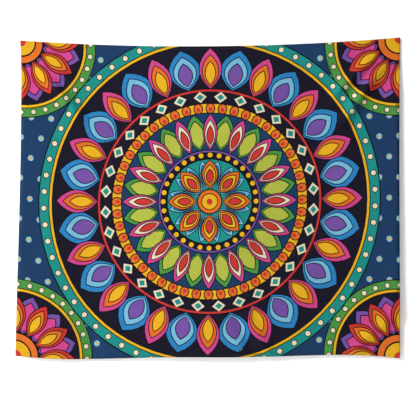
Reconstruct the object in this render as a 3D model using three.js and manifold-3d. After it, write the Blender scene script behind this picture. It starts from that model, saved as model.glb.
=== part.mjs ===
// A printed cloth tapestry that hangs flat on a wall from two tape loops behind its top corners.
//
// One polyester sheet carries the print. Its four edges are turned over to the back as hems and held by
// rows of sewing thread. A short tape loop with an open eye is bar-tacked behind each corner: the top two
// carry the sheet, and the bottom two hang free until they are needed. A care label hangs in the left hem.
//
// Millimetres. +X is to the right of someone who faces the print, +Y goes into the wall, +Z is up.
// The origin lies on the wall, midway between the two hanging points.
import * as THREE from "three";
import { mergeVertices } from "three/addons/utils/BufferGeometryUtils.js";
import Module from "manifold-3d";

// The sheet, laid flat.
const sheetWidth = 1520;
const sheetHeight = 1240;
const clothThickness = 0.8;

// The hems: cloth folded over to the back, and the thread that holds it down.
const hemWidth = 12;
const hemThickness = 1.0;
const threadWidth = 1.2;
const threadThickness = 0.5;
const threadInset = 2.5; // from the hem's free edge to the middle of its thread

// The loops: an eye between two legs of tape, above a tail that is sewn to the sheet.
const tapeWidth = 4;
const tapeThickness = 1.6;
const eyeWidth = 8;
const eyeLength = 18;
const tailLength = 14;
const tackWidth = 12;
const tackHeight = 3;
const tackThickness = 0.5;
const tackFromTailEnd = 6;

// The care label.
const labelWidth = 30;
const labelHeight = 46;
const labelThickness = 0.5;
const labelFromBottom = 150;
const labelSideGap = 0.8; // room for the label's edge to turn beside the hem
const labelClearance = 0.5; // it is stiffer than the sheet, and lies less closely on it

const clearance = 0.3; // between two pieces that lie on each other

// How the sheet hangs.
const hangSlack = 12; // the two hanging points are this much closer together than on the flat sheet
const hangTilt = 12; // the right hanging point is this much higher than the left one
const cornerInset = 14; // from each edge of the sheet to the hanging point
const topSag = 30; // of the top edge, below the line between its corners
const heightSlack = 12; // the sheet's folds take up this much of its height
const bottomTilt = 10; // the bottom edge's right end is this much lower than its left end
const bottomSwing = 12; // the bottom edge hangs this much low on the left and high on the right
const leftFlare = 16;
const leftPinch = 11;
const rightDraw = 3;
const rightPinch = 5;
const pinchBias = 0.6; // under 1, the sides are drawn in most above mid-height

// How far the sheet stands off the wall, beyond the layers behind it.
const bottomStandoff = 12;
const foldDepth = 8;
const foldsAcross = 1.6;
const foldPhase = 0.9;
const cornerFlatRadius = 50; // round each hanging point the sheet lies flat on its loop
const cornerFadeRadius = 230;
const cornerStandoff = { top: 0, bottomLeft: 15, bottomRight: 9 };

const hangSpan = sheetWidth - 2 * cornerInset - hangSlack;
const hungHeight = sheetHeight - heightSlack;

const columns = 36;
const rows = 30;
const arcSteps = 10;

// Depths are measured from the sheet's printed face towards the wall.
const hemFront = clothThickness + clearance;
const hemBack = hemFront + hemThickness;
const threadFront = hemBack + clearance;
const threadBack = threadFront + threadThickness;
const loopFront = threadBack + clearance;
const loopBack = loopFront + tapeThickness;
const labelFront = clothThickness + labelClearance;

const wasm = await Module();
wasm.setup();

function mix(a, b, t) {
  return a + (b - a) * t;
}

function smooth(t) {
  const c = Math.min(1, Math.max(0, t));
  return c * c * (3 - 2 * c);
}

// The sheet's outline as hung. s runs from -1 at the left to 1 at the right, and t from 0 at the top to 1.
function topEdge(s) {
  return cornerInset + (hangTilt / 2) * s - topSag * (1 - s * s);
}

function bottomEdge(s) {
  const swing = bottomSwing * Math.sin(Math.PI * s * Math.abs(s));
  return cornerInset - topSag - hungHeight - (bottomTilt / 2) * s + swing;
}

function leftEdge(t) {
  const pinch = leftPinch * Math.sin(Math.PI * t ** pinchBias);
  return -hangSpan / 2 - cornerInset - leftFlare * t + pinch;
}

function rightEdge(t) {
  const pinch = rightPinch * Math.sin(Math.PI * t ** pinchBias);
  return hangSpan / 2 + cornerInset - rightDraw * t - pinch;
}

// How far the sheet stands off the wall at a point of the sheet, u across and v down from its top left corner.
function standoff(u, v) {
  const t = v / sheetHeight;
  const fold = Math.cos(2 * Math.PI * foldsAcross * (u / sheetWidth) + foldPhase);
  let off = mix(foldDepth, bottomStandoff + foldDepth, t) + foldDepth * fold * mix(0.5, 1, t);
  const corners = [
    [0, 0, cornerStandoff.top],
    [sheetWidth, 0, cornerStandoff.top],
    [0, sheetHeight, cornerStandoff.bottomLeft],
    [sheetWidth, sheetHeight, cornerStandoff.bottomRight],
  ];
  for (const [cornerU, cornerV, level] of corners) {
    const away = Math.hypot(u - cornerU, v - cornerV);
    const free = smooth((away - cornerFlatRadius) / (cornerFadeRadius - cornerFlatRadius));
    off = mix(level, off, free);
  }
  return off;
}

// A point of the hung sheet, at a depth behind its printed face.
function hungPoint(u, v, depth) {
  const s = (2 * u) / sheetWidth - 1;
  const t = v / sheetHeight;
  return new THREE.Vector3(
    mix(leftEdge(t), rightEdge(t), u / sheetWidth),
    depth - loopBack - standoff(u, v),
    mix(topEdge(s), bottomEdge(s), t),
  );
}

// The same point, counted from midway between the two hanging points.
const hangMiddle = hungPoint(cornerInset, cornerInset, loopBack).lerp(
  hungPoint(sheetWidth - cornerInset, cornerInset, loopBack),
  0.5,
);

function sheetPoint(u, v, depth) {
  return hungPoint(u, v, depth).sub(hangMiddle);
}

// Lines across the sheet: one at each edge, one at each hem's free edge, and the rest evenly spaced.
function gridLines(length, steps) {
  const inner = length - 2 * hemWidth;
  const between = Array.from({ length: steps + 1 }, (_, i) => hemWidth + (inner * i) / steps);
  return [0, ...between, length];
}

// A closed solid that follows the hung sheet between two depths, over the given lines.
function layer(us, vs, front, back) {
  const positions = [];
  for (const depth of [front, back])
    for (const v of vs) for (const u of us) positions.push(...sheetPoint(u, v, depth).toArray());
  const across = us.length;
  const count = across * vs.length;
  const faces = [];
  for (let j = 0; j < vs.length - 1; j++)
    for (let i = 0; i < across - 1; i++) {
      const a = j * across + i;
      const [b, c, d] = [a + 1, a + across + 1, a + across];
      faces.push(a, d, c, a, c, b);
      faces.push(a + count, b + count, c + count, a + count, c + count, d + count);
    }
  const rim = [];
  for (let i = 0; i < across - 1; i++) rim.push(i);
  for (let j = 0; j < vs.length - 1; j++) rim.push(j * across + across - 1);
  for (let i = across - 1; i > 0; i--) rim.push((vs.length - 1) * across + i);
  for (let j = vs.length - 1; j > 0; j--) rim.push(j * across);
  rim.forEach((p, k) => {
    const q = rim[(k + 1) % rim.length];
    faces.push(p, q, q + count, p, q + count, p + count);
  });
  return new THREE.BufferGeometry()
    .setAttribute("position", new THREE.Float32BufferAttribute(positions, 3))
    .setIndex(faces);
}

function toSolid(geometry) {
  const bare = geometry.clone();
  for (const name of Object.keys(bare.attributes)) if (name !== "position") bare.deleteAttribute(name);
  const merged = mergeVertices(bare, 1e-4);
  return new wasm.Manifold(
    new wasm.Mesh({
      numProp: 3,
      vertProperties: merged.attributes.position.array,
      triVerts: new Uint32Array(merged.index.array),
    }),
  );
}

function toGeometry(solid) {
  const { vertProperties, triVerts } = solid.getMesh();
  return new THREE.BufferGeometry()
    .setAttribute("position", new THREE.BufferAttribute(vertProperties, 3))
    .setIndex(new THREE.BufferAttribute(triVerts, 1));
}

// A loop with its eye's round end at the local origin and its tail below, its back at y = 0.
// The tail has a shallow seat in its back, into which the bar tack's threads pull down.
const tailEnd = -(eyeLength - eyeWidth / 2) - tailLength;
const tackMiddle = tailEnd + tackFromTailEnd;

function loopGeometry() {
  const outer = eyeWidth / 2 + tapeWidth;
  const outline = new THREE.Shape();
  outline.moveTo(-outer, tailEnd);
  outline.lineTo(outer, tailEnd);
  outline.lineTo(outer, 0);
  outline.absarc(0, 0, outer, 0, Math.PI, false);
  outline.lineTo(-outer, tailEnd);
  const eye = new THREE.Path();
  eye.moveTo(eyeWidth / 2, 0);
  eye.absarc(0, 0, eyeWidth / 2, 0, Math.PI, false);
  eye.lineTo(-eyeWidth / 2, tailEnd + tailLength);
  eye.lineTo(eyeWidth / 2, tailEnd + tailLength);
  eye.lineTo(eyeWidth / 2, 0);
  outline.holes.push(eye);
  const tape = new THREE.ExtrudeGeometry(outline, {
    depth: tapeThickness,
    bevelEnabled: false,
    curveSegments: arcSteps,
  }).rotateX(Math.PI / 2);
  const seatDepth = tackThickness + clearance;
  const seat = new THREE.BoxGeometry(
    tackWidth + 2 * clearance,
    2 * seatDepth,
    tackHeight + 2 * clearance,
  ).translate(0, 0, tackMiddle);
  return toGeometry(toSolid(tape).subtract(toSolid(seat)));
}

function tackGeometry() {
  return new THREE.BoxGeometry(tackWidth, tackThickness, tackHeight).translate(
    0,
    -tackThickness / 2,
    tackMiddle,
  );
}

function clothLook(color, roughness = 0.9) {
  return new THREE.MeshStandardMaterial({ color, roughness, metalness: 0 });
}

const looks = {
  print: clothLook(0x8a4a3c, 0.8),
  thread: clothLook(0x2a2733, 0.6),
  tape: clothLook(0xf0eeea, 0.85),
  label: clothLook(0xfafafa, 0.5),
};

const tapestry = new THREE.Group();

function addMesh(parent, name, geometry, look) {
  const mesh = new THREE.Mesh(geometry, look);
  mesh.name = name;
  parent.add(mesh);
  return mesh;
}

// The sheet and its hems. The top and bottom hems run the whole width, and the side hems lie between them.
const us = gridLines(sheetWidth, columns);
const vs = gridLines(sheetHeight, rows);
const sideStart = hemWidth + clearance;
const sideEnd = sheetHeight - sideStart;
const sideLines = [sideStart, ...vs.slice(2, -2), sideEnd];
addMesh(tapestry, "cloth_panel", layer(us, vs, 0, clothThickness), looks.print);

const hemLines = {
  top: [us, [0, hemWidth]],
  bottom: [us, [sheetHeight - hemWidth, sheetHeight]],
  left: [[0, hemWidth], sideLines],
  right: [[sheetWidth - hemWidth, sheetWidth], sideLines],
};
for (const [side, [hemUs, hemVs]] of Object.entries(hemLines))
  addMesh(tapestry, `${side}_hem`, layer(hemUs, hemVs, hemFront, hemBack), looks.print);

// The two lines that bound a thread row, a given way in from the sheet's edge on either side.
function threadLines(length, atStart) {
  const middle = hemWidth - threadInset;
  const near = atStart ? middle - threadWidth / 2 : length - middle - threadWidth / 2;
  return [near, near + threadWidth];
}

const innerUs = [hemWidth + clearance, ...us.slice(2, -2), sheetWidth - hemWidth - clearance];
const stitchLines = {
  top: [innerUs, threadLines(sheetHeight, true)],
  bottom: [innerUs, threadLines(sheetHeight, false)],
  left: [threadLines(sheetWidth, true), sideLines],
  right: [threadLines(sheetWidth, false), sideLines],
};
for (const [side, [threadUs, threadVs]] of Object.entries(stitchLines)) {
  const geometry = layer(threadUs, threadVs, threadFront, threadBack);
  addMesh(tapestry, `${side}_hem_stitching`, geometry, looks.thread);
}

// A loop and its bar tack behind each corner. The top pair points up, and the bottom pair is turned over.
function addLoop(name, cornerU, cornerV) {
  const u = cornerU + (cornerU === 0 ? cornerInset : -cornerInset);
  const v = cornerV + (cornerV === 0 ? cornerInset : -cornerInset);
  const placed = new THREE.Group();
  placed.position.copy(sheetPoint(u, v, loopBack));
  if (cornerV > 0) placed.rotation.y = Math.PI;
  tapestry.add(placed);
  addMesh(placed, `${name}_loop`, loopGeometry(), looks.tape);
  addMesh(placed, `${name}_bar_tack`, tackGeometry(), looks.thread);
}

addLoop("top_left", 0, 0);
addLoop("top_right", sheetWidth, 0);
addLoop("bottom_left", 0, sheetHeight);
addLoop("bottom_right", sheetWidth, sheetHeight);

// The care label lies on the back of the sheet, beside the left hem that holds its edge.
const labelLeft = hemWidth + labelSideGap;
const labelTop = sheetHeight - labelFromBottom - labelHeight;
const labelUs = [labelLeft, labelLeft + labelWidth / 2, labelLeft + labelWidth];
const labelVs = [labelTop, labelTop + labelHeight / 2, labelTop + labelHeight];
const label = layer(labelUs, labelVs, labelFront, labelFront + labelThickness);
addMesh(tapestry, "care_label", label, looks.label);

export default tapestry;
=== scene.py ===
from math import cos, hypot, pi, radians, sin

import bpy
import numpy as np
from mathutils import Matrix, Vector
from mathutils.geometry import delaunay_2d_cdt


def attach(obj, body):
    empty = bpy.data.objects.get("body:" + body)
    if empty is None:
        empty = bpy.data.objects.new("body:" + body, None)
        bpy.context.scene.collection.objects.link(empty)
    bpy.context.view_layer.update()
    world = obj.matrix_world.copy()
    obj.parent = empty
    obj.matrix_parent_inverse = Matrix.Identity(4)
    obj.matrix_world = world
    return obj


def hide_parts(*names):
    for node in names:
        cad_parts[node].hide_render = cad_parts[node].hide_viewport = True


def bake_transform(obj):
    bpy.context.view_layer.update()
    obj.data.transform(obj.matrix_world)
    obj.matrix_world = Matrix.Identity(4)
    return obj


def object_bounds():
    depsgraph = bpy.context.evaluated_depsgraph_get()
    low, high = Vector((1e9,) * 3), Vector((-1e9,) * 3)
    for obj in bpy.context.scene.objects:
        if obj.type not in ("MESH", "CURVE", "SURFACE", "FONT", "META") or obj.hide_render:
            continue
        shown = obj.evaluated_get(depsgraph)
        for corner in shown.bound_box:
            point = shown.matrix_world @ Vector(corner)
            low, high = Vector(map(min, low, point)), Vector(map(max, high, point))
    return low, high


# A printed cloth tapestry that hangs on a white wall from two tape loops behind its top corners.
# Places on the cloth are u across and v down from its top left corner, in millimetres on the flat sheet.
# Objects are in metres: +X to the right of the viewer, +Y into the wall, +Z up.

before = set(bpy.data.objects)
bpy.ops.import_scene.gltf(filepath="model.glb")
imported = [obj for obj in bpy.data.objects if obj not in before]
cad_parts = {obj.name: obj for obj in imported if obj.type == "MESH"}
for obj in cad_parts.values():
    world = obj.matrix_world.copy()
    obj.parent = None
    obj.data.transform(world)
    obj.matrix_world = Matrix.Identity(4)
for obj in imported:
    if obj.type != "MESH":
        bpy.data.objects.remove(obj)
cadBox = [list(corner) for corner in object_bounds()]
mm = 0.001

print("stage: camera, wall, floor and lights")

# the whole sheet with a margin, seen straight on with a long lens
view = dict(centre=(-9, -654), distance=6500, width=1650, sensor=36)


def addCamera():
    data = bpy.data.cameras.new("camera")
    camera = bpy.data.objects.new("camera", data)
    bpy.context.scene.collection.objects.link(camera)
    camera.location = (view["centre"][0] * mm, -view["distance"] * mm, view["centre"][1] * mm)
    camera.rotation_euler = (pi / 2, 0, 0)
    data.sensor_width = view["sensor"]
    data.lens = view["sensor"] * view["distance"] / view["width"]
    data.clip_end = 100
    bpy.context.scene.camera = camera
    bpy.context.scene.view_settings.view_transform = "Standard"


def linear(hexColour):
    # an sRGB hex colour as the linear colour that shaders use
    channels = [int(hexColour[i:i + 2], 16) / 255 for i in (0, 2, 4)]
    return [c / 12.92 if c <= 0.04045 else ((c + 0.055) / 1.055) ** 2.4 for c in channels] + [1.0]


def addNode(tree, kind, settings=None, links=None):
    # settings go to the node's own properties, links to its inputs: a value, or a socket to join
    node = tree.nodes.new(kind)
    for name, value in (settings or {}).items():
        setattr(node, name, value)
    for name, value in (links or {}).items():
        if isinstance(value, bpy.types.NodeSocket):
            tree.links.new(value, node.inputs[name])
        else:
            node.inputs[name].default_value = value
    return node


def newMaterial(name):
    material = bpy.data.materials.new(name)
    material.use_nodes = True
    material.node_tree.nodes.clear()
    return material, material.node_tree


def finishMaterial(tree, shader):
    addNode(tree, "ShaderNodeOutputMaterial", links={"Surface": shader.outputs[0]})


def addMesh(name, points, faces, material=None, smooth=True):
    mesh = bpy.data.meshes.new(name)
    mesh.from_pydata([tuple(p) for p in points], [], [tuple(f) for f in faces])
    mesh.polygons.foreach_set("use_smooth", [smooth] * len(mesh.polygons))
    if material:
        mesh.materials.append(material)
    piece = bpy.data.objects.new(name, mesh)
    bpy.context.scene.collection.objects.link(piece)
    return piece


# the wall stands just behind the loops, and the floor a little below the sheet
stage = dict(wallGap=3, halfWidth=7000, floorDrop=900, height=5200, floorDepth=9000,
             key=dict(place=(-6600, -5200, 3600), size=5200, power=1500),
             fill=dict(place=(2600, -4200, -200), size=3200, power=20),
             back=dict(place=(0, 3600, 900), size=3600, power=110),
             sky=0.2)


def paintedWall():
    # matt emulsion; rays from behind and shadow rays pass it, so that the cloth's back can be seen and lit
    material, tree = newMaterial("matt white emulsion")
    place = addNode(tree, "ShaderNodeTexCoord").outputs["Object"]
    mottle = addNode(tree, "ShaderNodeTexNoise", links={"Vector": place, "Scale": 3.0, "Detail": 3.0})
    tone = addNode(tree, "ShaderNodeMapRange", links={
        "Value": mottle.outputs["Fac"], "To Min": 0.9, "To Max": 0.93})
    paint = addNode(tree, "ShaderNodeBsdfPrincipled", links={"Roughness": 0.9})
    tree.links.new(tone.outputs["Result"], paint.inputs["Base Color"])
    gone = addNode(tree, "ShaderNodeBsdfTransparent")
    facing = addNode(tree, "ShaderNodeNewGeometry")
    path = addNode(tree, "ShaderNodeLightPath")
    away = addNode(tree, "ShaderNodeMath", {"operation": "MAXIMUM"})
    tree.links.new(facing.outputs["Backfacing"], away.inputs[0])
    tree.links.new(path.outputs["Is Shadow Ray"], away.inputs[1])
    both = addNode(tree, "ShaderNodeMixShader", links={
        0: away.outputs[0], 1: paint.outputs[0], 2: gone.outputs[0]})
    finishMaterial(tree, both)
    return material


def addStage():
    x = stage["halfWidth"] * mm
    y = stage["wallGap"] * mm
    low = cadBox[0][2] - stage["floorDrop"] * mm
    high = low + stage["height"] * mm
    near = y - stage["floorDepth"] * mm
    upright = [(-x, y, low), (x, y, low), (x, y, high), (-x, y, high)]
    level = [(-x, near, low), (x, near, low), (x, y, low), (-x, y, low)]
    wall = addMesh("wall", upright, [(0, 1, 2, 3)], paintedWall())
    floor = addMesh("floor", level, [(0, 1, 2, 3)], paintedWall())
    target = Vector((0, 0, (cadBox[0][2] + cadBox[1][2]) / 2))
    for name in ("key", "fill", "back"):
        lamp = stage[name]
        data = bpy.data.lights.new(name, "AREA")
        data.shape = "DISK"
        data.size = lamp["size"] * mm
        data.energy = lamp["power"]
        light = bpy.data.objects.new(name, data)
        light.location = Vector(lamp["place"]) * mm
        light.rotation_euler = (target - light.location).to_track_quat("-Z", "Y").to_euler()
        bpy.context.scene.collection.objects.link(light)
    world = bpy.data.worlds.new("soft white room")
    bpy.context.scene.world = world
    world.use_nodes = True
    world.node_tree.nodes["Background"].inputs["Color"].default_value = (1, 1, 1, 1)
    world.node_tree.nodes["Background"].inputs["Strength"].default_value = stage["sky"]


addCamera()
addStage()

print("hang: the shape that the sheet takes on the wall")

# sizes as in the CAD part; depths run from the printed face towards the wall
sheet = dict(width=1520, height=1240, thickness=0.8, loopBack=4.8)
hang = dict(inset=14, slack=12, tilt=12, sag=30, heightSlack=12, bottomTilt=10, bottomSwing=12, leftFlare=16,
            leftPinch=11, rightDraw=3, rightPinch=5, pinchBias=0.6, bottomStandoff=12, foldDepth=8,
            foldsAcross=1.6, foldPhase=0.9, flatRadius=50, fadeRadius=230, corners=(0, 0, 15, 9))

# creases that the plain shape lacks: where each starts and ends on the cloth, its half width, and how far
# it comes forward (or, below 0, goes back)
creases = [
    dict(start=(10, 20), end=(210, 170), width=26, height=7),
    dict(start=(5, 40), end=(245, 290), width=24, height=15),
    dict(start=(0, 175), end=(190, 150), width=24, height=-9),
    dict(start=(60, 5), end=(250, 80), width=24, height=-6),
    dict(start=(1490, 4), end=(1258, 204), width=22, height=18),
    dict(start=(1504, 32), end=(1289, 322), width=22, height=19),
    dict(start=(1450, 10), end=(1230, 110), width=26, height=-7),
    dict(start=(1520, 1110), end=(1390, 1240), width=22, height=-11),
    dict(start=(1515, 1060), end=(1330, 1235), width=24, height=14),
    dict(start=(868, 1080), end=(950, 1240), width=23, height=-9),
    dict(start=(905, 1070), end=(1010, 1240), width=24, height=8),
    dict(start=(290, 1120), end=(310, 1240), width=32, height=-10),
    dict(start=(20, 1230), end=(200, 1080), width=26, height=8),
    dict(start=(620, 20), end=(760, 300), width=60, height=4),
    dict(start=(380, 30), end=(640, 420), width=70, height=-4),
]


def eased(t):
    t = np.clip(t, 0, 1)
    return t * t * (3 - 2 * t)


def creaseRelief(u, v):
    relief = np.zeros_like(u)
    for crease in creases:
        (ua, va), (ub, vb) = crease["start"], crease["end"]
        length = hypot(ub - ua, vb - va)
        du, dv = (ub - ua) / length, (vb - va) / length
        along = ((u - ua) * du + (v - va) * dv) / length
        across = (u - ua) * dv - (v - va) * du
        ends = eased(along / 0.25 + 0.5) * eased((1 - along) / 0.25 + 0.5)
        relief += crease["height"] * np.exp(-(across / crease["width"]) ** 2) * ends
    return relief


def hungPoints(u, v, depth):
    # where points of the flat sheet are once it hangs, in metres
    u, v = np.asarray(u, float), np.asarray(v, float)
    w, h = sheet["width"], sheet["height"]
    s, t = 2 * u / w - 1, np.clip(v / h, -0.01, 1.01)
    halfSpan = (w - 2 * hang["inset"] - hang["slack"]) / 2
    pinch = np.sin(pi * np.clip(t, 0, 1) ** hang["pinchBias"])
    left = -halfSpan - hang["inset"] - hang["leftFlare"] * t + hang["leftPinch"] * pinch
    right = halfSpan + hang["inset"] - hang["rightDraw"] * t - hang["rightPinch"] * pinch
    top = hang["inset"] + hang["tilt"] / 2 * s - hang["sag"] * (1 - s * s)
    swing = hang["bottomSwing"] * np.sin(pi * s * np.abs(s))
    bottom = hang["inset"] - hang["sag"] - (h - hang["heightSlack"]) - hang["bottomTilt"] / 2 * s + swing
    x = left + (right - left) * u / w
    z = top + (bottom - top) * t
    fold = np.cos(2 * pi * hang["foldsAcross"] * u / w + hang["foldPhase"])
    off = hang["foldDepth"] + hang["bottomStandoff"] * t + hang["foldDepth"] * fold * (0.5 + 0.5 * t)
    relief = creaseRelief(u, v)
    # a dip flattens out before it reaches the wall
    off = np.where(relief < 0, off * np.exp(np.minimum(relief, 0) / off), off + relief)
    for (cornerU, cornerV), level in zip([(0, 0), (w, 0), (0, h), (w, h)], hang["corners"]):
        away = np.hypot(u - cornerU, v - cornerV)
        free = eased((away - hang["flatRadius"]) / (hang["fadeRadius"] - hang["flatRadius"]))
        off = level + (off - level) * free
    y = depth - sheet["loopBack"] - off
    return np.stack([x, y, z], axis=-1) * mm - hangMiddle


hangMiddle = np.zeros(3)
hooks = hungPoints([hang["inset"], sheet["width"] - hang["inset"]], [hang["inset"]] * 2, sheet["loopBack"])
hangMiddle = hooks.mean(axis=0)

print("print: drawing the mandala")

# Each shape is a closed outline around a round's centre, x to the right and y up, painted over those before.
artwork = dict(sectors=16, sun=46, innerPetals=(52, 168), beads=186, middlePetals=(206, 352), arches=372,
               lozenges=418, outerPetals=(448, 616), rim=642, medallion=300, medallionSectors=12,
               inkSpread=0.8, lineWidth=3)
petal = dict(lead=9, shorten=0.16, narrow=0.28, roundness=0.8, steps=8)
colours = dict(ground="1f3f66", gold="f2b824", orange="e8742a", red="cf3a34", rose="d6498f", violet="7a55a8",
               blue="2f86c4", sky="7cc0e0", teal="1f958c", leaf="4f9a48", lime="b9c24a", cream="f3e3c0")
night, line = "1b1828", "0d0a14"
shapes = []


def turned(points, angle, radius=0.0):
    # x runs to the side and y outwards; angle is clockwise from the top
    c, s = cos(radians(angle)), sin(radians(angle))
    return [(x * c + (y + radius) * s, (y + radius) * c - x * s) for x, y in points]


def oval(x, y, rx, ry=None, steps=10):
    ry = rx if ry is None else ry
    return [(x + rx * sin(2 * pi * i / steps), y + ry * cos(2 * pi * i / steps)) for i in range(steps)]


def curve(points, steps=3):
    # a smooth path through a few points
    p = [points[0]] + list(points) + [points[-1]]
    path = []
    for a, b, c, d in zip(p, p[1:], p[2:], p[3:]):
        for k in range(steps):
            t = k / steps
            path.append(tuple(0.5 * (2 * b[m] + (c[m] - a[m]) * t
                                     + (2 * a[m] - 5 * b[m] + 4 * c[m] - d[m]) * t * t
                                     + (3 * b[m] - a[m] - 3 * c[m] + d[m]) * t ** 3) for m in (0, 1)))
    return path + [tuple(points[-1])]


def blade(start, end, halfWidth):
    # a petal outline, widest halfway along
    dx, dy = end[0] - start[0], end[1] - start[1]
    length = hypot(dx, dy)
    ux, uy = dx / length, dy / length
    left, right = [], []
    for i in range(petal["steps"] + 1):
        t = i / petal["steps"]
        w = halfWidth * max(sin(pi * t), 0) ** petal["roundness"]
        x, y = start[0] + dx * t, start[1] + dy * t
        left.append((x - uy * w, y + ux * w))
        right.append((x + uy * w, y - ux * w))
    return left + right[-2:0:-1]


def spreadInk(points):
    # an outline pushed outwards, because the dark ink soaks a little past its edge
    points = np.asarray(points, float)
    ahead = np.roll(points, -1, axis=0) - points
    ahead /= np.maximum(np.hypot(*ahead.T), 1e-9)[:, None]
    along = ahead + np.roll(ahead, 1, axis=0)
    along /= np.maximum(np.hypot(*along.T), 1e-9)[:, None]
    x, y = points.T
    turn = 1 if np.dot(x, np.roll(y, -1)) > np.dot(y, np.roll(x, -1)) else -1
    return points + turn * artwork["inkSpread"] * np.stack([along[:, 1], -along[:, 0]], axis=1)


def paint(points, colour, angle=0.0):
    if colour == line:
        points = spreadInk(points)
    shapes.append(dict(points=turned(points, angle), colour=colour))


def disc(radius, colour, steps=72):
    paint(oval(0, 0, radius, steps=steps), colour)


def ring(outer, inner, colour):
    disc(outer + artwork["lineWidth"], line)
    disc(outer, colour)
    disc(inner, line)


def around(count, offset=0.0):
    return [360 * (k + offset) / count for k in range(count)]


def drawPetals(count, reach, halfWidth, nested, offset=0.0):
    # a row of pointed petals, each with smaller ones inside it
    start, end = reach
    for angle in around(count, offset):
        for i, colour in enumerate(nested):
            low, high = start + petal["lead"] * i, end - (end - start) * petal["shorten"] * i
            wide = halfWidth * (1 - petal["narrow"] * i)
            outer = blade((0, low), (0, high), wide + artwork["lineWidth"])
            inner = blade((0, low + artwork["lineWidth"]), (0, high - artwork["lineWidth"] - 1), wide)
            paint(outer, line, angle)
            paint(inner, colour, angle)


def drawBeads(count, radius, size, colour, offset=0.0):
    for angle in around(count, offset):
        paint(oval(0, radius, size + 2.5, steps=12), line, angle)
        paint(oval(0, radius, size, steps=12), colour, angle)


def drawCentre(scale):
    disc(scale + 4, line, 48)
    disc(scale, colours["orange"], 48)
    disc(scale * 0.72, line, 40)
    disc(scale * 0.66, colours["gold"], 40)
    disc(scale * 0.26, colours["red"], 24)


def drawMandala():
    count = artwork["sectors"]
    # from the rim inwards, so that each row lies over the one outside it
    disc(artwork["rim"] + 44, line)
    disc(artwork["rim"] + 40, colours["teal"])
    drawBeads(4 * count, artwork["rim"] + 22, 10, colours["cream"], 0.5)
    ring(artwork["rim"], artwork["rim"] - 10, colours["gold"])
    disc(artwork["rim"] - 13, night)
    drawPetals(count, artwork["outerPetals"], 62, [colours["blue"], colours["sky"], colours["violet"]], 0.5)
    drawPetals(count, artwork["outerPetals"], 44, [colours["rose"], colours["orange"], colours["gold"]])
    ring(artwork["lozenges"] + 30, artwork["lozenges"] - 30, colours["red"])
    disc(artwork["lozenges"] + 22, night)
    for angle in around(2 * count, 0.5):
        mark = artwork["lozenges"]
        paint([(0, mark - 22), (26, mark), (0, mark + 22), (-26, mark)], colours["cream"], angle)
        paint([(0, mark - 13), (15, mark), (0, mark + 13), (-15, mark)], colours["teal"], angle)
    ring(artwork["lozenges"] - 28, artwork["arches"] - 30, colours["gold"])
    for angle in around(3 * count):
        paint(oval(0, artwork["arches"], 19, 22, steps=14), line, angle)
        paint(oval(0, artwork["arches"], 15.5, 18.5, steps=14), colours["orange"], angle)
        paint(oval(0, artwork["arches"] - 4, 7, 9, steps=10), colours["red"], angle)
    disc(artwork["middlePetals"][1] + 3, line)
    disc(artwork["middlePetals"][1], colours["ground"])
    drawPetals(count, artwork["middlePetals"], 38, [colours["leaf"], colours["lime"]], 0.5)
    drawPetals(count, artwork["middlePetals"], 27, [colours["rose"], colours["cream"], colours["red"]])
    ring(artwork["beads"] + 18, artwork["beads"] - 18, colours["violet"])
    disc(artwork["beads"] + 12, night)
    drawBeads(2 * count, artwork["beads"], 10, colours["gold"])
    disc(artwork["innerPetals"][1] + 3, line)
    disc(artwork["innerPetals"][1], colours["teal"])
    drawPetals(count, artwork["innerPetals"], 18, [colours["sky"], colours["blue"]], 0.5)
    drawPetals(count // 2, artwork["innerPetals"], 30, [colours["orange"], colours["gold"], colours["red"]])
    drawCentre(artwork["sun"])


def drawMedallion():
    # a plainer round for the corners
    size, count = artwork["medallion"], artwork["medallionSectors"]
    disc(size + 3, line)
    disc(size, colours["leaf"])
    drawBeads(3 * count, size - 18, 9, colours["cream"])
    ring(size - 36, size - 46, colours["gold"])
    disc(size - 49, night)
    drawPetals(count, (90, size - 54), 48, [colours["violet"], colours["rose"]], 0.5)
    drawPetals(count, (90, size - 62), 34, [colours["red"], colours["orange"], colours["gold"]])
    drawCentre(88)


def spreadPrint():
    # the mandala in the middle and a medallion on each corner, over rows of dots on a plain ground
    w, h = sheet["width"], sheet["height"]
    spread = []

    def lay(middle):
        for shape in shapes:
            outline = np.array(shape["points"]) + middle
            spread.append(dict(shape, outline=outline * (1, -1) + (w / 2, h / 2)))
        shapes.clear()

    paint([(-w, -h), (w, -h), (w, h), (-w, h)], colours["ground"])
    for row in range(-8, 9):
        for column in range(-10, 11):
            x, y = 80 * column + 40 * (row % 2), 80 * row
            paint(oval(x, y, 12, steps=12), colours["sky"])
            paint(oval(x, y, 6, steps=10), colours["gold"])
    lay((0, 0))
    for corner in [(-w / 2, h / 2), (w / 2, h / 2), (-w / 2, -h / 2), (w / 2, -h / 2)]:
        drawMedallion()
        lay(corner)
    drawMandala()
    lay((0, 0))
    return spread


printed = spreadPrint()
printBoxes = np.array([[*s["outline"].min(axis=0), *s["outline"].max(axis=0)] for s in printed])
inks = np.array([linear(shape["colour"])[:3] for shape in printed] + [linear(colours["ground"])[:3]])

print("print: cutting", len(printed), "shapes into the cloth's surface")

cells = dict(across=20, down=16, grid=5, fineGrid=15, snap=0.02)


def clipped(points, axis, limit, keepAbove):
    # the part of an outline on one side of a line
    kept = []
    for i, b in enumerate(points):
        a = points[i - 1]
        aIn = a[axis] >= limit if keepAbove else a[axis] <= limit
        bIn = b[axis] >= limit if keepAbove else b[axis] <= limit
        if aIn != bIn:
            t = (limit - a[axis]) / (b[axis] - a[axis])
            cross = [a[0] + (b[0] - a[0]) * t, a[1] + (b[1] - a[1]) * t]
            cross[axis] = limit
            kept.append(tuple(cross))
        if bIn:
            kept.append(tuple(b))
    return kept


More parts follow.
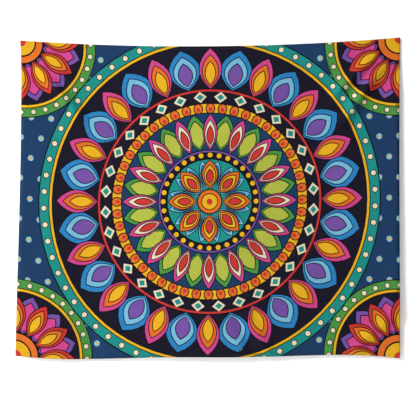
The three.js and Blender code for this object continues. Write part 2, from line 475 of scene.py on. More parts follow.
def layersIn(low, high):
    # the shapes that show inside a box, cut to it, without those that a later one covers all over
    hit = np.nonzero((printBoxes[:, :2] < high).all(axis=1) & (printBoxes[:, 2:] > low).all(axis=1))[0]
    layers = []
    boxArea = (high[0] - low[0]) * (high[1] - low[1])
    for i in hit:
        points = printed[i]["outline"]
        for axis in (0, 1):
            if len(points) and printBoxes[i][axis] < low[axis]:
                points = clipped(points, axis, low[axis], True)
            if len(points) and printBoxes[i][2 + axis] > high[axis]:
                points = clipped(points, axis, high[axis], False)
        if len(points) < 3:
            continue
        points = np.array(points)
        x, y = points.T
        area = abs(np.dot(x, np.roll(y, -1)) - np.dot(y, np.roll(x, -1))) / 2
        if area > 0.9999 * boxArea:
            layers = []
        layers.append((i, points))
    return layers


def topLayer(layers, spots):
    # for each spot, the number of the last shape that it lies in
    top = np.full(len(spots), len(printed))
    x, y = spots.T
    for i, points in layers:
        (ax, ay), (bx, by) = points.T[:, :, None], np.roll(points, -1, axis=0).T[:, :, None]
        side = (bx - ax) * (y - ay) - (x - ax) * (by - ay)
        up = (ay <= y) & (by > y) & (side > 0)
        down = (ay > y) & (by <= y) & (side < 0)
        top[up.sum(axis=0) != down.sum(axis=0)] = i
    return top


def triangulate(points, edges):
    vectors = [Vector(p) for p in points]
    points, _, triangles, *_ = delaunay_2d_cdt(vectors, edges, [], 0, cells["snap"] / 4, False)
    return np.array([tuple(p) for p in points]), np.array(triangles)


def colourEdges(low, high):
    # the edges between colours inside one cell of the sheet, and the cell's grid points
    layers = layersIn(low, high)
    # a finer grid where the cloth is creased, so that its two faces keep apart
    probeU, probeV = np.meshgrid(np.linspace(low[0], high[0], 6), np.linspace(low[1], high[1], 6))
    fine = cells["fineGrid"]
    step = 1 if np.abs(creaseRelief(probeU, probeV)).max() > 1 else fine // cells["grid"]
    grid = [(low[0] + (high[0] - low[0]) * i / fine, low[1] + (high[1] - low[1]) * j / fine)
            for i in range(fine + 1) for j in range(fine + 1)
            if i in (0, fine) or j in (0, fine) or (i % step == 0 and j % step == 0)]
    points, edges = list(grid), []
    for _, outline in layers:
        first, count = len(points), len(outline)
        points += [tuple(p) for p in outline]
        edges += [(first + i, first + (i + 1) % count) for i in range(count)]
    points, triangles = triangulate(points, edges)
    top = topLayer(layers, points[triangles].mean(axis=1))
    pairs = np.concatenate([triangles[:, [0, 1]], triangles[:, [1, 2]], triangles[:, [2, 0]]])
    pairs = np.sort(pairs, axis=1)
    owner = np.tile(np.arange(len(triangles)), 3)
    order = np.lexsort(pairs.T)
    pairs, owner = pairs[order], owner[order]
    shared = np.nonzero((pairs[1:] == pairs[:-1]).all(axis=1))[0]
    differ = shared[(inks[top[owner[shared]]] != inks[top[owner[shared + 1]]]).any(axis=1)]
    used, renumbered = np.unique(pairs[differ], return_inverse=True)
    points = np.round(np.concatenate([points[used], grid]) / cells["snap"]) * cells["snap"]
    for side in (low, high):
        points = np.where(np.abs(points - side) < 1.5 * cells["snap"], side, points)
    return dict(layers=layers, points=points, edges=renumbered.reshape(-1, 2).tolist())


def cutPrint():
    # the whole front: points on the flat sheet, triangles, and the colour at each triangle's corners
    size = np.array([sheet["width"] / cells["across"], sheet["height"] / cells["down"]])
    places = [(column, row) for row in range(cells["down"]) for column in range(cells["across"])]
    cut = {place: colourEdges(size * place, size * (np.array(place) + 1)) for place in places}
    # a point on a side belongs to the cells on both its sides
    sides = {}
    for place in places:
        for axis in (0, 1):
            for end in (0, 1):
                border = place[axis] + end
                onSide = np.abs(cut[place]["points"][:, axis] - size[axis] * border) < cells["snap"]
                sides.setdefault((axis, border, place[1 - axis]), []).append(cut[place]["points"][onSide])
    allPoints, allTriangles, allInks = [], [], []
    count = 0
    for place in places:
        layers, points = cut[place]["layers"], cut[place]["points"]
        edgeSpots = [p for axis in (0, 1) for end in (0, 1)
                     for p in sides[(axis, place[axis] + end, place[1 - axis])]]
        points, triangles = triangulate(np.concatenate([points] + edgeSpots).tolist(), cut[place]["edges"])
        # a flat triangle along a side would stop the cells from joining there
        for axis in (0, 1):
            for end in (0, 1):
                onSide = np.abs(points[:, axis] - size[axis] * (place[axis] + end)) < cells["snap"] / 2
                points[onSide, axis] = size[axis] * (place[axis] + end)
                triangles = triangles[~onSide[triangles].all(axis=1)]
        top = topLayer(layers, points[triangles].mean(axis=1))
        allInks.append(inks[np.repeat(top, 3)])
        allPoints.append(points)
        allTriangles.append(triangles + count)
        count += len(points)
    points, triangles = np.concatenate(allPoints), np.concatenate(allTriangles)
    rounded = np.round(points / cells["snap"] * 4)
    _, first, joined = np.unique(rounded, axis=0, return_index=True, return_inverse=True)
    triangles = joined.reshape(-1)[triangles]
    cornerInks = np.concatenate(allInks).reshape(-1, 3, 3)
    a, b, c = triangles.T
    solid = (a != b) & (b != c) & (c != a)
    return points[first], triangles[solid], cornerInks[solid]


def sampleInk(spots):
    # the print's colour at any spots, also just beyond the sheet's edge, where it is turned over in the hems
    spots = np.asarray(spots, float)
    sampled = np.zeros((len(spots), 3))
    size = 80.0  # mm, the boxes that the spots are sorted into
    keys = np.floor(spots / size).astype(int)
    for key in np.unique(keys, axis=0):
        mine = np.nonzero((keys == key).all(axis=1))[0]
        layers = layersIn(key * size, (key + 1) * size)
        sampled[mine] = inks[topLayer(layers, spots[mine])]
    return sampled


def setColours(piece, cornerColours):
    attribute = piece.data.color_attributes.new("print", "FLOAT_COLOR", "CORNER")
    flat = np.ones((len(cornerColours), 4), dtype=np.float32)
    flat[:, :3] = cornerColours
    attribute.data.foreach_set("color", flat.ravel())


def setMap(piece, name, cornerPlaces):
    layer = piece.data.uv_layers.new(name=name)
    layer.data.foreach_set("uv", np.asarray(cornerPlaces, dtype=np.float32).ravel())


def zipped(first, firstAt, second, secondAt):
    # triangles between two rows of points that run the same way
    i = j = 0
    faces = []
    while i < len(first) - 1 or j < len(second) - 1:
        if j == len(second) - 1 or (i < len(first) - 1 and firstAt[i + 1] <= secondAt[j + 1]):
            faces.append((first[i], first[i + 1], second[j]))
            i += 1
        else:
            faces.append((first[i], second[j + 1], second[j]))
            j += 1
    return faces


# the back keeps a little further from the front in the creases, where its coarser grid cuts corners
backGrid = dict(step=8, slack=0.2, slackFrom=16, slackOver=12, bleed=0.34, paper="efe9e4")
# the baked picture: the front at the bottom, the back squeezed into a strip above it, and the rim over that
bakeMap = dict(front=0.998, margin=0.001, gap=0.012, top=0.97, back=0.9, rim=0.93, rimStep=0.004,
               rimHigh=0.008)


def throughPaper(ink):
    # the print's pale ghost on the reverse
    paper = np.array(linear(backGrid["paper"])[:3])
    return paper * (1 - backGrid["bleed"]) + ink * backGrid["bleed"]


def clothRim(points, back, number):
    # triangles that join the two faces round the sheet's edge
    w, h = sheet["width"], sheet["height"]
    borders = [(1, 0, number[0, :], 0, False), (1, h, number[-1, :], 0, True),
               (0, 0, number[:, 0], 1, True), (0, w, number[:, -1], 1, False)]
    rim = []
    for axis, value, backRow, along, turn in borders:
        edge = np.nonzero(np.abs(points[:, axis] - value) < 1e-6)[0]
        edge = edge[np.argsort(points[edge, along])]
        faces = zipped(list(edge), points[edge, along], list(backRow), back[backRow - len(points), along])
        rim += [[int(i) for i in (face[::-1] if turn else face)] for face in faces]
    return rim


def mapCloth(cloth, frontPlaces, backPlaces, rimPlaces, rimIsBack):
    # where each corner of each face lies, on the flat cloth and in the baked picture
    w, h = sheet["width"], sheet["height"]
    setMap(cloth, "cloth", np.concatenate([frontPlaces, backPlaces, rimPlaces]) / 1000)
    scale, margin = bakeMap["front"] / w, bakeMap["margin"]
    stripTop, stripHigh = h * scale + bakeMap["gap"], bakeMap["top"] - h * scale
    backUp = stripTop + backPlaces[:, 1] / h * stripHigh * bakeMap["back"]
    rimUp = (stripTop + stripHigh * bakeMap["rim"] + rimIsBack * bakeMap["rimStep"]
             + rimPlaces[:, 1] / h * bakeMap["rimHigh"])
    setMap(cloth, "OFBake", np.concatenate([
        frontPlaces * scale + margin,
        np.stack([backPlaces[:, 0] * scale + margin, backUp], axis=1),
        np.stack([rimPlaces[:, 0] * scale + margin, rimUp], axis=1)]))


def buildCloth(material):
    points, triangles, frontInks = cutPrint()
    print("print:", len(triangles), "triangles")
    # the cut triangles run anticlockwise with v down, so they are turned to face the viewer
    triangles, frontInks = triangles[:, ::-1], frontInks[:, ::-1]
    w, h = sheet["width"], sheet["height"]
    nu, nv = int(w / backGrid["step"]) + 1, int(h / backGrid["step"]) + 1
    gridU, gridV = np.meshgrid(np.linspace(0, w, nu), np.linspace(0, h, nv))
    back = np.stack([gridU.ravel(), gridV.ravel()], axis=1)
    number = np.arange(nu * nv).reshape(nv, nu) + len(points)
    quads = np.stack([number[:-1, :-1], number[:-1, 1:], number[1:, 1:], number[1:, :-1]], axis=-1)
    quads = quads.reshape(-1, 4)
    rim = clothRim(points, back, number)
    inward = np.minimum(np.minimum(back[:, 0], w - back[:, 0]), np.minimum(back[:, 1], h - back[:, 1]))
    slack = np.abs(creaseRelief(*back.T)) * backGrid["slack"]
    slack *= eased((inward - backGrid["slackFrom"]) / backGrid["slackOver"])
    front3d = hungPoints(points[:, 0], points[:, 1], 0)
    back3d = hungPoints(back[:, 0], back[:, 1], sheet["thickness"] + slack)
    faces = triangles.tolist() + quads.tolist() + rim
    cloth = addMesh("cloth_sheet", np.concatenate([front3d, back3d]), faces, material)
    isFlat = np.ones(len(faces), dtype=bool)
    isFlat[len(triangles) + len(quads):] = False
    cloth.data.polygons.foreach_set("use_smooth", isFlat)
    flat = np.concatenate([points, back])
    backCorners, rimCorners = quads.ravel(), np.array(rim).ravel()
    setColours(cloth, np.concatenate([frontInks.reshape(-1, 3),
                                      throughPaper(sampleInk(back))[backCorners - len(points)],
                                      sampleInk(flat[rimCorners])]))
    mapCloth(cloth, flat[triangles].reshape(-1, 2), flat[backCorners], flat[rimCorners],
             rimCorners >= len(points))
    return cloth


print("materials")

# a wave texture of scale 1 repeats every 314 mm, so this over a yarn's width gives one band per yarn
wavesPerMetre = 314


def printedPolyester():
    # plain-woven polyester with dye printed into its face: even colour, a fine cross grain, hardly any shine
    material, tree = newMaterial("dye-printed plain-weave polyester")
    yarn = 6.0  # mm; the real yarns lie 0.3 mm apart, so they are drawn twenty times as coarse to show at all
    place = addNode(tree, "ShaderNodeUVMap", {"uv_map": "cloth"}).outputs["UV"]
    ink = addNode(tree, "ShaderNodeVertexColor", {"layer_name": "print"})
    warp = addNode(tree, "ShaderNodeTexWave", {"bands_direction": "X"}, {
        "Vector": place, "Scale": wavesPerMetre / yarn,
        "Distortion": 0.6, "Detail": 1.0, "Detail Scale": 0.4})
    weft = addNode(tree, "ShaderNodeTexWave", {"bands_direction": "Y"}, {
        "Vector": place, "Scale": wavesPerMetre / yarn,
        "Distortion": 0.6, "Detail": 1.0, "Detail Scale": 0.4})
    cross = addNode(tree, "ShaderNodeMath", {"operation": "MULTIPLY"},
                    {0: warp.outputs["Fac"], 1: weft.outputs["Fac"]})
    slub = addNode(tree, "ShaderNodeTexNoise", links={
        "Vector": place, "Scale": 190.0, "Detail": 3.0, "Roughness": 0.6})
    dye = addNode(tree, "ShaderNodeTexNoise", links={"Vector": place, "Scale": 7.0, "Detail": 2.0})
    grain = addNode(tree, "ShaderNodeMapRange", links={
        "Value": slub.outputs["Fac"], "From Min": 0.25, "From Max": 0.75, "To Min": 0.43, "To Max": 0.65})
    patch = addNode(tree, "ShaderNodeMapRange", links={
        "Value": dye.outputs["Fac"], "From Min": 0.3, "From Max": 0.7, "To Min": 0.95, "To Max": 1.05})
    tone = addNode(tree, "ShaderNodeMath", {"operation": "MULTIPLY"}, {
        0: grain.outputs[0], 1: patch.outputs[0]})
    colour = addNode(tree, "ShaderNodeVectorMath", {"operation": "SCALE"},
                     {0: ink.outputs["Color"], "Scale": tone.outputs[0]})
    height = addNode(tree, "ShaderNodeMath", {"operation": "ADD"}, {
        0: cross.outputs[0], 1: slub.outputs["Fac"]})
    bump = addNode(tree, "ShaderNodeBump", links={
        "Strength": 0.35, "Distance": 0.0006, "Height": height.outputs[0]})
    dull = addNode(tree, "ShaderNodeMapRange", links={
        "Value": slub.outputs["Fac"], "To Min": 0.62, "To Max": 0.86})
    shader = addNode(tree, "ShaderNodeBsdfPrincipled", links={
        "Base Color": colour.outputs[0], "Roughness": dull.outputs[0], "Normal": bump.outputs[0],
        "Specular IOR Level": 0.05, "Sheen Weight": 0.02, "Sheen Roughness": 0.4})
    finishMaterial(tree, shader)
    return material


def sewingThread(name, hexColour):
    # spun polyester thread, two plies twisted together: a faint barber-pole along each stitch
    material, tree = newMaterial(name)
    ply = 0.9  # mm; a real ply turns every 0.5 mm
    place = addNode(tree, "ShaderNodeTexCoord").outputs["Object"]
    twist = addNode(tree, "ShaderNodeTexWave", {"bands_direction": "DIAGONAL"},
                    {"Vector": place, "Scale": wavesPerMetre / ply, "Distortion": 0.3})
    fuzz = addNode(tree, "ShaderNodeTexNoise", links={"Vector": place, "Scale": 900.0, "Detail": 2.0})
    tone = addNode(tree, "ShaderNodeMapRange", links={
        "Value": fuzz.outputs["Fac"], "From Min": 0.3, "From Max": 0.7, "To Min": 0.8, "To Max": 1.15})
    colour = addNode(tree, "ShaderNodeVectorMath", {"operation": "SCALE"},
                     {0: linear(hexColour)[:3], "Scale": tone.outputs[0]})
    bump = addNode(tree, "ShaderNodeBump", links={
        "Strength": 0.6, "Distance": 0.0001, "Height": twist.outputs["Fac"]})
    shine = addNode(tree, "ShaderNodeMapRange", links={
        "Value": fuzz.outputs["Fac"], "To Min": 0.4, "To Max": 0.6})
    shader = addNode(tree, "ShaderNodeBsdfPrincipled", links={
        "Base Color": colour.outputs[0], "Roughness": shine.outputs[0], "Normal": bump.outputs[0],
        "Specular IOR Level": 0.4, "Sheen Weight": 0.1})
    finishMaterial(tree, shader)
    return material


def twillTape():
    # cotton twill tape: slanting ribs across a matt, slightly fuzzy band, with painted shade that darkens the
    # colour in the grooves between the ribs
    material, tree = newMaterial("twill-woven cotton tape")
    rib = 0.9  # mm, near the real spacing of a twill's ribs
    place = addNode(tree, "ShaderNodeUVMap", {"uv_map": "cloth"}).outputs["UV"]
    slant = addNode(tree, "ShaderNodeMapping", links={"Vector": place, "Rotation": (0, 0, radians(45))})
    ribs = addNode(tree, "ShaderNodeTexWave", {"bands_direction": "X"}, {
        "Vector": slant.outputs[0], "Scale": wavesPerMetre / rib,
        "Distortion": 0.6, "Detail": 1.0, "Detail Scale": 0.4})
    fuzz = addNode(tree, "ShaderNodeTexNoise", links={"Vector": place, "Scale": 1400.0, "Detail": 2.0})
    # painted shade: the colour runs darker in the low grooves between the ribs, following the same wave that
    # the bump lowers there
    tone = addNode(tree, "ShaderNodeMapRange", links={
        "Value": ribs.outputs["Fac"], "To Min": 0.72, "To Max": 0.94})
    worn = addNode(tree, "ShaderNodeMapRange", links={
        "Value": fuzz.outputs["Fac"], "To Min": 0.9, "To Max": 1.05})
    both = addNode(tree, "ShaderNodeMath", {"operation": "MULTIPLY"}, {
        0: tone.outputs[0], 1: worn.outputs[0]})
    colour = addNode(tree, "ShaderNodeVectorMath", {"operation": "SCALE"},
                     {0: linear("f2efe6")[:3], "Scale": both.outputs[0]})
    bump = addNode(tree, "ShaderNodeBump", links={
        "Strength": 0.7, "Distance": 0.00015, "Height": ribs.outputs["Fac"]})
    rough = addNode(tree, "ShaderNodeMapRange", links={
        "Value": fuzz.outputs["Fac"], "To Min": 0.8, "To Max": 0.95})
    shader = addNode(tree, "ShaderNodeBsdfPrincipled", links={
        "Base Color": colour.outputs[0], "Roughness": rough.outputs[0], "Normal": bump.outputs[0],
        "Specular IOR Level": 0.2, "Sheen Weight": 0.2})
    finishMaterial(tree, shader)
    return material


def satinRibbon():
    # woven polyester satin: smooth floats along its length give it a soft directional gloss
    material, tree = newMaterial("white polyester satin ribbon")
    floatWidth = 0.8  # mm; the real floats are 0.1 mm wide
    place = addNode(tree, "ShaderNodeUVMap", {"uv_map": "cloth"}).outputs["UV"]
    floats = addNode(tree, "ShaderNodeTexWave", {"bands_direction": "X"}, {
        "Vector": place, "Scale": wavesPerMetre / floatWidth,
        "Distortion": 0.6, "Detail": 1.0, "Detail Scale": 0.4})
    cloud = addNode(tree, "ShaderNodeTexNoise", links={"Vector": place, "Scale": 120.0, "Detail": 2.0})
    tone = addNode(tree, "ShaderNodeMapRange", links={
        "Value": cloud.outputs["Fac"], "To Min": 0.86, "To Max": 0.98})
    colour = addNode(tree, "ShaderNodeVectorMath", {"operation": "SCALE"},
                     {0: linear("f8f8f7")[:3], "Scale": tone.outputs[0]})
    bump = addNode(tree, "ShaderNodeBump", links={
        "Strength": 0.3, "Distance": 0.0001, "Height": floats.outputs["Fac"]})
    gloss = addNode(tree, "ShaderNodeMapRange", links={
        "Value": cloud.outputs["Fac"], "To Min": 0.28, "To Max": 0.42})
    shader = addNode(tree, "ShaderNodeBsdfPrincipled", links={
        "Base Color": colour.outputs[0], "Roughness": gloss.outputs[0], "Normal": bump.outputs[0],
        "Anisotropic": 0.5, "Specular IOR Level": 0.5})
    finishMaterial(tree, shader)
    return material


clothMaterial = printedPolyester()
hemThreadMaterial = sewingThread("dark spun polyester thread", "2a2733")
tackThreadMaterial = sewingThread("ecru spun polyester thread", "d8d4c8")
tapeMaterial = twillTape()
labelMaterial = satinRibbon()

print("sheet: the printed cloth")
cloth = buildCloth(clothMaterial)

print("hems: the sheet's edges turned over to the back")

# a hem's outline in section, from the lip on the printed face, round the fold and along the back: how far in
# from the sheet's edge, how deep from the printed face, and how much cloth it has used so far
hem = dict(step=4, width=12, margin=0.3, insideFrom=13, mapRows=6, mapHigh=30, mapSeam=29.4, mapGap=12,
           section=[(0.2, -0.1, 0), (-0.35, -0.02, 0.6), (-0.8, 0.5, 1.3), (-0.9, 1.2, 2), (-0.5, 1.85, 2.7),
                    (0.4, 2.1, 3.6), (3, 2.05, 6.2), (6, 2.12, 9.2), (9, 2.02, 12.2), (11.2, 2.1, 14.4),
                    (11.9, 1.85, 15.1), (12, 1.5, 15.5), (11.6, 1.15, 15.9), (10, 1.1, 17.5), (5, 1.1, 22.5),
                    (0.5, 1.1, 27), (-0.1, 0.9, 27.6), (-0.1, -0.02, 28.5)])


def edgePlace(side, along, inward):
    # a place on the sheet from how far along an edge it is, and how far in
    w, h = sheet["width"], sheet["height"]
    along, inward = np.broadcast_arrays(np.asarray(along, float), np.asarray(inward, float))
    return {"top": (along, inward), "bottom": (along, h - inward),
            "left": (inward, along), "right": (w - inward, along)}[side]


def buildHem(side):
    across = side in ("top", "bottom")
    length = sheet["width"] if across else sheet["height"]
    first = 0 if across else hem["width"] + hem["margin"]
    count = int((length - 2 * first) / hem["step"])
    along = np.linspace(first, length - first, count + 1)
    inward, depth, used = np.array(hem["section"]).T
    ring = len(inward)
    u, v = edgePlace(side, along[:, None], inward[None, :])
    points = hungPoints(u, v, np.broadcast_to(depth, u.shape)).reshape(-1, 3)
    faces = []
    for i in range(count):
        for j in range(ring):
            k = (j + 1) % ring
            a, b = i * ring, (i + 1) * ring
            faces.append((a + j, a + k, b + k, b + j))
    faces += [tuple(range(ring))[::-1], tuple(count * ring + j for j in range(ring))]
    if side in ("top", "right"):
        faces = [face[::-1] for face in faces]
    piece = addMesh(side + "_hem_fold", points, faces, clothMaterial)
    # the printed face shows on the fold and the back; the inside is the paler reverse
    corners = np.concatenate([np.array(face) for face in faces])
    at, part = along[corners // ring], corners % ring
    spotU, spotV = edgePlace(side, at, -used[part])
    ink = sampleInk(np.stack([spotU, spotV], axis=1))
    setColours(piece, np.where((part >= hem["insideFrom"])[:, None], throughPaper(ink), ink))
    setMap(piece, "cloth", np.stack([at, used[part]], axis=1) / 1000)
    # for the bake the long strip is folded into rows
    rowLength = (length - 2 * first) / hem["mapRows"]
    quads = np.repeat(np.arange(count) * (length - 2 * first) / count, ring * 4)
    start = np.concatenate([quads, np.zeros(ring), np.full(ring, length - 2 * first - 1)])
    row = np.minimum((start / rowLength).astype(int), hem["mapRows"] - 1)
    lastRow = np.tile(np.arange(ring * 4) // 4 == ring - 1, count)
    turnsOver = np.concatenate([lastRow, np.zeros(2 * ring, bool)]) & (part == 0)
    up = row * hem["mapHigh"] + np.where(turnsOver, hem["mapSeam"], used[part])
    baked = np.stack([(at - first - row * rowLength) + 2, up], axis=1)
    setMap(piece, "OFBake", baked / (rowLength + hem["mapGap"]))
    return piece


hemPieces = {side: buildHem(side) for side in ("top", "bottom", "left", "right")}

print("sewing: rows of stitches by Geometry Nodes")

hemRow = dict(pitch=4.0, length=3.3, thickness=0.5, fromEdge=9.5, front=-0.02, back=2.2, step=12,
              slant=0.04)
tack = dict(width=12, height=3, rise=-22, pitch=0.5, length=3.0, thickness=0.5, slant=0.16, depth=-0.27)


def stitchTree():
    # stitches along a path: short rounded threads, each leaning a little to one side or the other
    tree = bpy.data.node_groups.new("row of stitches", "GeometryNodeTree")
    face = tree.interface
    face.new_socket("Path", in_out="INPUT", socket_type="NodeSocketGeometry")
    for name in ("Pitch", "Length", "Thickness", "Turn", "Slant"):
        face.new_socket(name, in_out="INPUT", socket_type="NodeSocketFloat")
    face.new_socket("Seed", in_out="INPUT", socket_type="NodeSocketInt")
    face.new_socket("Thread", in_out="INPUT", socket_type="NodeSocketMaterial")
    face.new_socket("Stitches", in_out="OUTPUT", socket_type="NodeSocketGeometry")
    given = addNode(tree, "NodeGroupInput").outputs
    path = addNode(tree, "GeometryNodeMeshToCurve", links={"Mesh": given["Path"]})
    even = addNode(tree, "GeometryNodeResampleCurve", {"mode": "LENGTH"},
                   {"Curve": path.outputs["Curve"], "Length": given["Pitch"]})
    spots = addNode(tree, "GeometryNodeCurveToPoints", {"mode": "EVALUATED"}, {
        "Curve": even.outputs["Curve"]})
    index = addNode(tree, "GeometryNodeInputIndex")
    parity = addNode(tree, "ShaderNodeMath", {"operation": "MODULO"}, {0: index.outputs[0], 1: 2.0})
    lean = addNode(tree, "ShaderNodeMath", {"operation": "MULTIPLY_ADD"},
                   {0: parity.outputs[0], 1: 2.0, 2: -1.0})
    stray = addNode(tree, "FunctionNodeRandomValue", {"data_type": "FLOAT"},
                    {"Min": 0.6, "Max": 1.2, "Seed": given["Seed"]})
    loose = addNode(tree, "ShaderNodeMath", {"operation": "MULTIPLY"}, {
        0: lean.outputs[0], 1: stray.outputs[1]})
    angle = addNode(tree, "ShaderNodeMath", {"operation": "MULTIPLY_ADD"},
                    {0: loose.outputs[0], 1: given["Slant"], 2: given["Turn"]})
    way = addNode(tree, "ShaderNodeVectorRotate", {"rotation_type": "AXIS_ANGLE"},
                  {"Vector": spots.outputs["Tangent"], "Axis": (0, 1, 0), "Angle": angle.outputs[0]})
    aimed = addNode(tree, "FunctionNodeAlignRotationToVector", {"axis": "Z"}, {"Vector": way.outputs[0]})
    stitch = addNode(tree, "GeometryNodeMeshUVSphere", links={"Segments": 6, "Rings": 4, "Radius": 0.5})
    size = addNode(tree, "ShaderNodeCombineXYZ",
                   links={"X": given["Thickness"], "Y": given["Thickness"], "Z": given["Length"]})
    laid = addNode(tree, "GeometryNodeInstanceOnPoints", links={
        "Points": spots.outputs["Points"], "Instance": stitch.outputs["Mesh"],
        "Rotation": aimed.outputs[0], "Scale": size.outputs[0]})
    real = addNode(tree, "GeometryNodeRealizeInstances", links={"Geometry": laid.outputs["Instances"]})
    dressed = addNode(tree, "GeometryNodeSetMaterial",
                      links={"Geometry": real.outputs["Geometry"], "Material": given["Thread"]})
    addNode(tree, "NodeGroupOutput", links={"Stitches": dressed.outputs["Geometry"]})
    return tree


stitchRows = stitchTree()
stitchInputs = {item.name: item.identifier for item in stitchRows.interface.items_tree
                if item.in_out == "INPUT"}


def sewn(name, paths, thread, values):
    # paths are rows of points; the stitches come out as one plain mesh
    points, edges = [], []
    for path in paths:
        edges += [(len(points) + i, len(points) + i + 1) for i in range(len(path) - 1)]
        points += [tuple(p) for p in path]
    mesh = bpy.data.meshes.new(name)
    mesh.from_pydata(points, edges, [])
    guide = bpy.data.objects.new(name + "_path", mesh)
    bpy.context.scene.collection.objects.link(guide)
    modifier = guide.modifiers.new("stitches", "NODES")
    modifier.node_group = stitchRows
    for key, value in dict(values, Thread=thread).items():
        modifier[stitchInputs[key]] = value
    bpy.context.view_layer.update()
    ready = guide.evaluated_get(bpy.context.evaluated_depsgraph_get())
    stitches = bpy.data.meshes.new_from_object(ready)
    piece = bpy.data.objects.new(name, stitches)
    bpy.context.scene.collection.objects.link(piece)
    bpy.data.objects.remove(guide)
    stitches.polygons.foreach_set("use_smooth", [True] * len(stitches.polygons))
    return piece


def sewHem(side, seed):
    # one row seen from the front and one from the back, through cloth and hem
    length = sheet["width"] if side in ("top", "bottom") else sheet["height"]
    first = hem["width"] + hem["margin"] + 3
    along = np.linspace(first, length - first, int(length / hemRow["step"]))
    u, v = edgePlace(side, along, hemRow["fromEdge"])
    paths = [hungPoints(u, v, hemRow["front"]), hungPoints(u, v, hemRow["back"])]
    values = {"Pitch": hemRow["pitch"] * mm, "Length": hemRow["length"] * mm,
              "Thickness": hemRow["thickness"] * mm, "Turn": 0.0, "Slant": hemRow["slant"], "Seed": seed}
    return sewn(side + "_hem_thread", paths, hemThreadMaterial, values)


hemThreads = {side: sewHem(side, 3 + i) for i, side in enumerate(("top", "bottom", "left", "right"))}

print("loops: twill tape behind each corner")

# the middle line of a loop's right half, from its tail up round the eye: to the side, and up from its middle
loop = dict(inset=14, width=4, thickness=1.6, pinch=0.75, pinchReach=3.2, steps=3, ring=10, eyeRadius=6,
            leg=[(2.15, -28), (2.15, -24), (2.2, -20), (3.1, -16.5), (4.7, -12.5), (5.8, -8), (6, -3.5),
                 (6, 0)])


def cornerFrame(name):
    # the place of a corner's eye on the sheet, and whether its loop hangs upside down
    u = loop["inset"] if "left" in name else sheet["width"] - loop["inset"]
    v = loop["inset"] if "top" in name else sheet["height"] - loop["inset"]
    return hungPoints(u, v, sheet["loopBack"]), -1 if "bottom" in name else 1


def onLoop(name, points):
    # points beside a loop's eye, in mm: to the side, towards the wall and up
    middle, up = cornerFrame(name)
    return np.array(points) * (up, 1, up) * mm + middle


def buildLoop(name):
    leg = curve(loop["leg"], loop["steps"])
    r = loop["eyeRadius"]
    arch = [(r * cos(radians(a)), r * sin(radians(a))) for a in range(15, 166, 15)]
    path = np.array(leg + arch + [(-x, z) for x, z in leg[::-1]])
    ahead = np.roll(path, -1, axis=0) - np.roll(path, 1, axis=0)
    ahead[0], ahead[-1] = path[1] - path[0], path[-1] - path[-2]
    ahead /= np.hypot(*ahead.T)[:, None]
    run = np.concatenate([[0], np.cumsum(np.hypot(*np.diff(path, axis=0).T))])
    points, places = [], []
    ring = loop["ring"]
    for (x, z), (dx, dz), at in zip(path, ahead, run):
        # the tack pulls the tape in from behind
        near = max(0, 1 - abs(z - tack["rise"]) / loop["pinchReach"])
        thick = loop["thickness"] - loop["pinch"] * near * near * (3 - 2 * near)
        for k in range(ring):
            turn = 2 * pi * (k + 0.5) / ring
            c, sn = cos(turn), sin(turn)
            side = loop["width"] / 2 * abs(c) ** 0.35 * (1 if c > 0 else -1)
            deep = -loop["thickness"] + thick / 2 * (1 + abs(sn) ** 0.6 * (1 if sn > 0 else -1))
            points.append((x + dz * side, deep, z - dx * side))
            places.append((at, side + (6 if sn > 0 else 0)))
    n = len(path)
    faces = [(i * ring + j, i * ring + (j + 1) % ring, (i + 1) * ring + (j + 1) % ring, (i + 1) * ring + j)
             for i in range(n - 1) for j in range(ring)]
    faces += [tuple(range(ring))[::-1], tuple((n - 1) * ring + j for j in range(ring))]
    piece = addMesh(name + "_tape_loop", onLoop(name, points), faces, tapeMaterial)
    corners = np.concatenate([np.array(face) for face in faces])
    setMap(piece, "cloth", np.array(places)[corners] / 1000)
    return piece


def sewTack(name, seed):
    half = tack["width"] / 2 - 0.3
    path = onLoop(name, [(-half, tack["depth"], tack["rise"]), (half, tack["depth"], tack["rise"])])
    values = {"Pitch": tack["pitch"] * mm, "Length": tack["length"] * mm,
              "Thickness": tack["thickness"] * mm, "Turn": pi / 2, "Slant": tack["slant"], "Seed": seed}
    return sewn(name + "_tack_thread", [path], tackThreadMaterial, values)


cornerNames = ("top_left", "top_right", "bottom_left", "bottom_right")
loops = {name: buildLoop(name) for name in cornerNames}
tacks = {name: sewTack(name, 11 + i) for i, name in enumerate(cornerNames)}

print("label: a blank satin ribbon in the left hem")

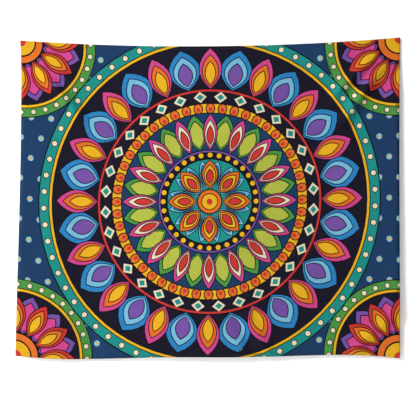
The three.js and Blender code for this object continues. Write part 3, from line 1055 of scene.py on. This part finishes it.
label = dict(left=12.8, width=30, height=46, fromBottom=150, front=1.35, thickness=0.32, wave=1.6,
             across=16, down=20)


def buildLabel():
    nu, nv = label["across"], label["down"]
    top = sheet["height"] - label["fromBottom"] - label["height"]
    p, q = np.meshgrid(np.linspace(0, 1, nu + 1), np.linspace(0, 1, nv + 1))
    u, v = label["left"] + label["width"] * p, top + label["height"] * q
    wave = label["wave"] * p * p * (0.6 + 0.4 * np.cos(2 * pi * (1.1 * q + 0.15)))
    front = label["front"] + wave
    points = np.concatenate([hungPoints(u, v, front).reshape(-1, 3),
                             hungPoints(u, v, front + label["thickness"]).reshape(-1, 3)])
    number = np.arange((nu + 1) * (nv + 1)).reshape(nv + 1, nu + 1)
    quads = np.stack([number[:-1, :-1], number[1:, :-1], number[1:, 1:], number[:-1, 1:]], axis=-1)
    quads = quads.reshape(-1, 4)
    back = quads[:, ::-1] + number.size
    border = [*number[0, :], *number[1:, -1], *number[-1, -2::-1], *number[-2:0:-1, 0]]
    rim = [(a, b, b + number.size, a + number.size) for a, b in zip(border, border[1:] + border[:1])]
    faces = [tuple(map(int, f)) for f in (*quads, *back, *rim)]
    piece = addMesh("care_label_ribbon", points, faces, labelMaterial)
    corners = np.concatenate([np.array(face) for face in faces])
    flat = np.stack([u.ravel(), v.ravel()], axis=1)
    setMap(piece, "cloth", flat[corners % number.size] / 1000)
    return piece


labelPiece = buildLabel()

print("frame: which body each piece moves with")

# the top hem and its stitching move with the wall loops, the bottom ones with the sheet; the side hems and
# the cloth keep no body
bodies = {"top": "wall_loops", "bottom": "sheet"}


def joinFrame(piece, node, body=None):
    if body:
        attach(piece, body)
    else:
        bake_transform(piece)
    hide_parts(node)


joinFrame(cloth, "cloth_panel")
for side, piece in hemPieces.items():
    joinFrame(piece, side + "_hem", bodies.get(side))
for side, piece in hemThreads.items():
    joinFrame(piece, side + "_hem_stitching", bodies.get(side))
for name in cornerNames:
    body = "wall_loops" if name.startswith("top") else name + "_tape"
    joinFrame(loops[name], name + "_loop", body)
    joinFrame(tacks[name], name + "_bar_tack", body)
joinFrame(labelPiece, "care_label", "label")
